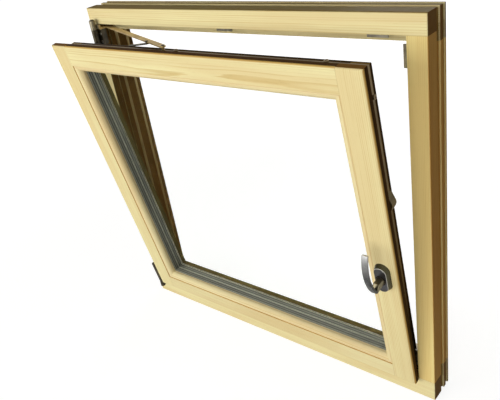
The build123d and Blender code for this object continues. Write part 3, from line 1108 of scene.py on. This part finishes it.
@dataclass
class Hardware:
    """Strikers, faceplates, locking cams, hinges and the stay, with their screws and rivets."""

    lean: Lean
    fasteners: Fasteners
    plate: float = 2.5 * MM
    striker_screw: float = 13 * MM
    faceplate_step: float = 0.155
    rail_step: float = 0.19
    rail_thickness: float = 1.6 * MM
    cam_points: int = 24
    cam_neck: float = 3.4 * MM
    cam_head: float = 4.5 * MM
    cam_neck_share: float = 0.55
    cam_round: float = 0.12
    cam_rim: float = 0.35
    cam_dimple: float = 0.15
    arm_thickness: float = 3 * MM
    arm_reach: float = 350 / 280
    slot_room: float = 24 * MM
    bearing_plate: float = 3 * MM
    bearing_screw_offset: float = 8.5 * MM
    bearing_screw_heights: tuple[float, float] = (0.12, 0.42)
    cap_points: int = 28
    cap_radius: float = 5.2 * MM
    cap_depth: float = 2.2 * MM
    cap_rise: float = 0.6 * MM
    cap_round: float = 1.5 * MM

    def dress_nodes(self) -> None:
        """Gives the CAD pieces their metal."""
        self.zinc, self.bronze, self.plate_steel = ZINC.make(), BRONZE.make(), PLATE.make()
        rows = {
            "striker_": self.zinc,
            "faceplate_": self.plate_steel,
            "stay_bearing": self.bronze,
            "corner_": self.bronze,
            "stay_arm": OCHRE.make(),
            "stay_lever": self.bronze,
            "sash_lifter": OLIVE.make(),
            "rain_rail": ANODISED.make(),
        }
        for node, item in frame["nodes"].items():
            for start, material in rows.items():
                if node.startswith(start):
                    dress(item, material)

    def cams(self) -> None:
        """Models a mushroom cam once and puts one at each locking point."""
        low, high = self.lean.shut_box("cam_top_1")
        height = high.z - low.z
        neck = height * self.cam_neck_share
        model = Workpiece.rod("cam", self.cam_points, self.cam_neck, neck, location=(0.0, 0.0, neck / 2))
        model.pick(facing_up())
        model.use(bpy.ops.mesh.extrude_region_move)
        grow = self.cam_head / self.cam_neck
        model.use(bpy.ops.transform.resize, value=(grow, grow, 1.0))
        model.push((0.0, 0.0, height - neck))
        model.bevel(height * self.cam_round, 3)
        model.pick(facing_up(0.99))
        model.use(bpy.ops.mesh.inset, thickness=self.cam_head * self.cam_rim)
        model.push((0.0, 0.0, -height * self.cam_dimple))
        shape = model.done()
        up, side = Vector((0, 0, 1)), Vector((1, 0, 0))
        ways = {"top_1": up, "top_2": up, "bottom": -up, "lock_upper": side, "lock_lower": side}
        for name, out in ways.items():
            node = f"cam_{name}"
            low, high = self.lean.shut_box(node)
            base = (low + high) / 2 - out * height / 2
            twin = copy_to(shape, f"{node}_roller", self.lean.matrix() @ facing_matrix(base, out))
            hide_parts(node)
            fit(twin, "sash", self.plate_steel)
        bpy.data.objects.remove(shape)

    def striker_places(self) -> list[ScrewPlace]:
        """Lists two screws on each striker.

        Returns:
            The name, body, place at rest and facing of each.
        """
        ways = {"head_1": (0, 0, -1), "head_2": (0, 0, -1), "sill": (0, 0, 1)}
        ways.update({"jamb_upper": (-1, 0, 0), "jamb_lower": (-1, 0, 0)})
        places = []
        for side, way in ways.items():
            low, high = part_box(f"striker_{side}")
            out = Vector(way)
            across, along = (0, 2) if way[0] else (2, 0)
            for number, step in enumerate((-1, 1), start=1):
                spot = (low + high) / 2
                spot[across] = (high if way[across] < 0 else low)[across] + way[across] * self.plate
                spot[along] += step * self.striker_screw
                places.append((f"striker_{side}_screw_{number}", "frame", spot, out))
        return places

    def frame_places(self) -> list[ScrewPlace]:
        """Lists the screws of the rain rail and of the stay bearing.

        Returns:
            The name, body, place at rest and facing of each.
        """
        places = []
        low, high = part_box("rain_rail")
        count = int((high.x - low.x) / self.rail_step) + 1
        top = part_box("frame_sill")[1].z + self.rail_thickness
        for number in range(count):
            spot = Vector((low.x + (high.x - low.x) * (number + 0.5) / count, (low.y + high.y) / 2, top))
            places.append((f"rain_rail_screw_{number + 1}", "frame", spot, Vector((0, 0, 1))))
        low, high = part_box("stay_bearing")
        x = joint("sash_turn")["pos_m"][0] + self.bearing_screw_offset
        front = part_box("frame_head")[0].y - self.bearing_plate
        for number, share in enumerate(self.bearing_screw_heights, start=1):
            spot = Vector((x, front, low.z + (high.z - low.z) * share))
            places.append((f"stay_bearing_screw_{number}", "frame", spot, Vector((0, -1, 0))))
        return places

    def faceplate_places(self) -> list[ScrewPlace]:
        """Lists the screws of the four faceplates, leaned with the sash.

        Returns:
            The name, body, place at rest and facing of each.
        """
        places = []
        matrix = self.lean.matrix()
        ways = {"hinge_side": (-1, 0, 0), "lock_side": (1, 0, 0), "top": (0, 0, 1), "bottom": (0, 0, -1)}
        for side, way in ways.items():
            low, high = self.lean.shut_box(f"faceplate_{side}")
            across, along = (0, 2) if way[0] else (2, 0)
            length = high[along] - low[along]
            count = max(2, int(length / self.faceplate_step))
            for number in range(count):
                spot = (low + high) / 2
                spot[along] = low[along] + length * (number + 0.5) / count
                spot[across] = (high if way[across] > 0 else low)[across]
                if side == "top" and abs(spot.x - self.arm_end().x) < self.slot_room:
                    continue
                name = f"faceplate_{side}_screw_{number + 1}"
                places.append((name, "sash", matrix @ spot, matrix.to_3x3() @ Vector(way)))
        return places

    def arm_end(self) -> Vector:
        """Returns the place of the pin that slides in the top faceplate."""
        axis, pivot = Vector(joint("stay_swing")["pos_m"]), Vector(joint("stay_link_swing")["pos_m"])
        return axis + (pivot - axis) * self.arm_reach

    def screws(self) -> None:
        """Puts a screw at each place."""
        model = self.fasteners.screw()
        for name, body, place, out in self.striker_places() + self.frame_places() + self.faceplate_places():
            steel = self.zinc if body == "frame" else self.plate_steel
            fit(copy_to(model, name, facing_matrix(place, out)), body, steel)
        bpy.data.objects.remove(model)

    def rivets(self) -> None:
        """Puts rivet heads on the stay arm, over the control lever and the sliding pin."""
        model = self.fasteners.rivet()
        up, pivot = Vector((0, 0, 1)), Vector(joint("stay_link_swing")["pos_m"])
        for name, spot in (("stay_lever_rivet", pivot), ("stay_pin_rivet", self.arm_end())):
            rivet = copy_to(model, name, facing_matrix(spot + up * self.arm_thickness, up))
            fit(rivet, "stay", self.bronze)
        bpy.data.objects.remove(model)

    def cap(self) -> None:
        """Models the domed cap on the pin of the upper bearing."""
        _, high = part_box("stay_bearing")
        axis = joint("sash_turn")["pos_m"]
        top = (axis[0], axis[1], high.z + self.cap_rise)
        piece = Workpiece.rod("bearing_cap", self.cap_points, self.cap_radius, self.cap_depth, location=top)
        piece.pick(facing_up())
        piece.bevel(self.cap_round, 5)
        fit(piece.done(60.0), "frame", self.bronze)

    def build(self) -> None:
        """Dresses and builds all the hardware."""
        self.dress_nodes()
        self.cams()
        self.screws()
        self.rivets()
        self.cap()


@dataclass
class HandleSet:
    """The oval plate and the bowed lever, which is a flat bar bent round into a neck."""

    lean: Lean
    width: float = 12.4 * MM
    thickness: float = 5.5 * MM
    corner: float = 1.3 * MM
    tip: tuple[float, float] = (43.75 * MM, 93.4 * MM)
    crown: tuple[float, float] = (52.25 * MM, 46 * MM)
    foot: tuple[float, float] = (37.0 * MM, -5.7 * MM)
    bend_radius: float = 4.5 * MM
    neck_radius: float = 8.5 * MM
    neck_start: float = 12.05 * MM
    neck_blend: float = 7 * MM
    neck_flare: tuple[float, float] = (1.08, 1.9)
    tip_reach: float = 3 * MM
    tip_round: float = 0.8 * MM
    ring_points: int = 32
    ring_reach: float = 2.6 * MM
    ring_depth: float = 0.9 * MM
    ring_sink: float = 0.25 * MM
    ring_round: float = 0.35 * MM
    bow_steps: int = 28
    bend_steps: int = 12

    def bow(self) -> tuple[Vector, float]:
        """Finds the circle through the lever's tip, crown and foot.

        Returns:
            Its middle, as distance from the sash and height, and its radius.
        """
        (ax, ay), (bx, by), (cx, cy) = self.tip, self.crown, self.foot
        double = 2 * (ax * (by - cy) + bx * (cy - ay) + cx * (ay - by))
        a, b, c = ax * ax + ay * ay, bx * bx + by * by, cx * cx + cy * cy
        x = (a * (by - cy) + b * (cy - ay) + c * (ay - by)) / double
        y = (a * (cx - bx) + b * (ax - cx) + c * (bx - ax)) / double
        return Vector((x, y)), math.hypot(ax - x, ay - y)

    def spot(self, distance: float, height: float) -> Vector:
        """Returns a place on the handle's middle plane, with the sash upright."""
        origin = self.lean.matrix().inverted() @ Vector(joint("handle_turn")["pos_m"])
        return origin + Vector((0.0, -distance, height))

    def lever(self) -> bpy.types.Object:
        """Models the lever: its section is spun along the bow, then round the bend into the neck.

        Returns:
            The lever, in place.
        """
        centre, radius = self.bow()
        bend_y = self.foot[1] + self.bend_radius
        bend_x = centre.x + math.sqrt((radius - self.bend_radius) ** 2 - (centre.y - bend_y) ** 2)
        start = math.atan2(self.tip[1] - centre.y, self.tip[0] - centre.x)
        finish = math.atan2(bend_y - centre.y, bend_x - centre.x)
        middle = self.spot(*self.tip)
        piece = Workpiece("handle_grip", bpy.ops.mesh.primitive_plane_add, size=1.0, location=middle)
        piece.use(bpy.ops.transform.resize, value=(self.width, self.thickness, 1.0), center_override=middle)
        piece.pick(everything, Pick.POINTS)
        piece.bevel(self.corner, 3, points=True)
        piece.pick(everything)
        piece.use(bpy.ops.transform.rotate, value=start, orient_axis="X", center_override=middle)
        around = {"axis": (1.0, 0.0, 0.0), "use_normal_flip": False}
        bow = {"steps": self.bow_steps, "angle": finish - start, "center": self.spot(*centre)}
        piece.use(bpy.ops.mesh.spin, **bow, **around)
        elbow = self.spot(bend_x, bend_y)
        bend = {"steps": self.bend_steps, "angle": -math.pi / 2 - finish, "center": elbow}
        piece.use(bpy.ops.mesh.spin, **bend, **around)
        return self.neck(piece, bend_x)

    def neck(self, piece: Workpiece, root: float) -> bpy.types.Object:
        """Draws the last section out into the round neck.

        Args:
            piece: The lever, with its last section selected.
            root: How far from the sash the bend ends.

        Returns:
            The finished lever, in place.
        """
        half, rise = self.neck_blend / 2, -self.foot[1] / 2
        axis = self.spot(root - 2 * half, 0.0)
        piece.push((0.0, half, rise))
        middle = self.spot(root - half, self.foot[1] + rise)
        wide, tall = self.neck_flare
        piece.use(bpy.ops.transform.resize, value=(wide, 1.0, tall), center_override=middle)
        piece.push((0.0, half, rise))
        piece.use(bpy.ops.transform.tosphere, value=1.0)
        grow = self.neck_radius / self.section_radius(piece, axis)
        piece.use(bpy.ops.transform.resize, value=(grow, 1.0, grow), center_override=axis)
        piece.push((0.0, root - 2 * half - self.neck_start, 0.0))
        near_tip = self.spot(*self.tip).z - self.tip_reach
        piece.pick(lambda middle, normal: middle.z > near_tip and normal.z > 0.8)
        piece.bevel(self.tip_round, 3)
        return settle(piece.done(40.0), self.lean.matrix())

    @staticmethod
    def section_radius(piece: Workpiece, axis: Vector) -> float:
        """Measures the section that is selected.

        Args:
            piece: The lever.
            axis: A point on a line along Y.

        Returns:
            The mean distance of the selected points from that line.
        """
        mesh = bmesh.from_edit_mesh(piece.item.data)
        gaps = [math.hypot(p.co.x - axis.x, p.co.z - axis.z) for p in mesh.verts if p.select]
        return sum(gaps) / len(gaps)

    def shade_ring(self) -> bpy.types.Object:
        """Models a dark ring round the foot of the neck, a painted shadow in the gap between neck and
        plate.

        Returns:
            The ring, in place.
        """
        radius = self.neck_radius + self.ring_reach
        foot = self.spot(self.neck_start - self.ring_sink, 0.0)
        place = {"location": foot, "rotation": (math.pi / 2, 0.0, 0.0)}
        piece = Workpiece.rod("handle_shade_ring", self.ring_points, radius, self.ring_depth, **place)
        piece.pick(lambda middle, normal: normal.y < -0.9)
        piece.bevel(self.ring_round, 2)
        return settle(piece.done(40.0), self.lean.matrix())

    def build(self) -> None:
        """Dresses the plate and builds the lever and the dark ring at its foot, a painted shadow."""
        dress(frame["nodes"]["handle_rosette"], PLATE_GREY.make())
        lever = self.lever()
        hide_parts("handle_lever")
        fit(lever, "handle", SATIN.make())
        # A black ring, a painted shadow in the gap at the neck's foot.
        fit(self.shade_ring(), "sash", BLACK_RUBBER.make())


@dataclass(frozen=True)
class Lamp:
    """A square soft lamp. Its level is the light that it puts on a white surface, where 1 is white."""

    name: str
    place: tuple[float, float, float]
    size: float
    level: float

    def hang(self, target: Vector) -> None:
        """Adds the lamp.

        Args:
            target: What it faces.
        """
        aim = target - Vector(self.place)
        data = bpy.data.lights.new(self.name, "AREA")
        data.shape, data.size = "SQUARE", self.size
        data.energy = self.level * math.pi**2 * aim.length_squared
        item = bpy.data.objects.new(self.name, data)
        item.location = self.place
        item.rotation_euler = aim.to_track_quat("-Z", "Y").to_euler()
        bpy.context.scene.collection.objects.link(item)


@dataclass
class Studio:
    """A pale floor, a white surround, soft lamps and the camera."""

    target: tuple[float, float, float] = (-0.00989, -0.016, 0.40061)
    camera_place: tuple[float, float, float] = (0.86615, -0.93054, 1.07708)
    roll: float = 10.038
    lens: float = 45.029
    ambient: float = 0.12
    ambient_tint: tuple[float, float, float] = (1.0, 0.94, 0.82)
    floor_size: float = 60.0
    floor_colour: Colour = srgb(160, 160, 158)
    floor_spread: tuple[float, float] = (0.9, 2.6)
    floor_glow: float = 0.86
    lamps: tuple[Lamp, ...] = (
        Lamp("key_lamp", (-2.0, -4.6, 0.9), 3.0, 0.58),
        Lamp("fill_lamp", (0.9, -5.0, 1.1), 2.4, 0.53),
        Lamp("back_lamp", (-1.0, 4.8, 1.2), 3.0, 0.45),
    )

    def seen_directly(self, sheet: Sheet) -> Wire:
        """Parts what is seen from what gives light.

        Args:
            sheet: The nodes of the floor or the surround.

        Returns:
            1 for what the camera sees, straight or by gloss and glass, and 0 for light.
        """
        rays = sheet.add("ShaderNodeLightPath")
        seen = sheet.wire(rays, "Is Camera Ray").larger(sheet.wire(rays, "Is Glossy Ray"))
        seen = seen.larger(sheet.wire(rays, "Is Transmission Ray"))
        return seen * (1 - sheet.wire(rays, "Diffuse Depth").rise(0.0, 1.0))

    def sky(self) -> None:
        """Sets a white surround that lights the window softly."""
        world = bpy.data.worlds.new("surround")
        sheet = Sheet(world)
        dim = tuple(self.ambient * part for part in self.ambient_tint) + (1.0,)
        colour = sheet.blend(self.seen_directly(sheet), dim, WHITE)
        surround = sheet.add("ShaderNodeBackground", None, {"Color": colour})
        sheet.add("ShaderNodeOutputWorld", None, {"Surface": sheet.wire(surround)})
        bpy.context.scene.world = world

    def floor(self) -> None:
        """Lays the pale floor, which shows the window's soft shadow and fades into the white surround."""
        bpy.ops.mesh.primitive_plane_add(size=self.floor_size)
        item = bpy.context.active_object
        item.name = "floor"
        sheet = Sheet.named("pale_floor")
        matt = sheet.wire(sheet.add("ShaderNodeBsdfDiffuse", None, {"Color": self.floor_colour}))
        x, y, _ = sheet.axes(sheet.place())
        away = ((x * x + y * y) ** 0.5).rise(*self.floor_spread)
        glow = self.seen_directly(sheet) * (self.floor_glow + away * (1 - self.floor_glow))
        white = sheet.wire(sheet.add("ShaderNodeEmission", None, {"Color": WHITE, "Strength": glow}))
        both = sheet.wire(sheet.add("ShaderNodeAddShader", None, {0: matt, 1: white}))
        dress(item, sheet.finish(both))

    def camera(self) -> None:
        """Sets the camera where the photograph was taken."""
        data = bpy.data.cameras.new("camera")
        data.lens = self.lens
        item = bpy.data.objects.new("camera", data)
        aim = Vector(self.target) - Vector(self.camera_place)
        turn = aim.to_track_quat("-Z", "Y").to_matrix() @ Matrix.Rotation(-math.radians(self.roll), 3, "Z")
        item.matrix_world = Matrix.Translation(self.camera_place) @ turn.to_4x4()
        bpy.context.scene.collection.objects.link(item)
        bpy.context.scene.camera = item

    def build(self) -> None:
        """Sets the stage."""
        bpy.context.scene.view_settings.view_transform = "Standard"
        self.sky()
        self.floor()
        for lamp in self.lamps:
            lamp.hang(Vector(self.target))
        self.camera()


def main() -> None:
    """Builds and dresses the window, then sets the stage."""
    logging.basicConfig(level=logging.INFO, format="%(name)s: %(message)s")
    tilt = joint("sash_tilt")
    lean = Lean(math.radians(tilt["range_deg"][1]), tuple(tilt["pos_m"]))
    assemblies = (Timber(lean), Glazing(lean), Hardware(lean, Fasteners()), HandleSet(lean), Studio())
    for assembly in assemblies:
        assembly.build()
        log.info("%s is done", type(assembly).__name__)


if __name__ == "__main__":
    main()
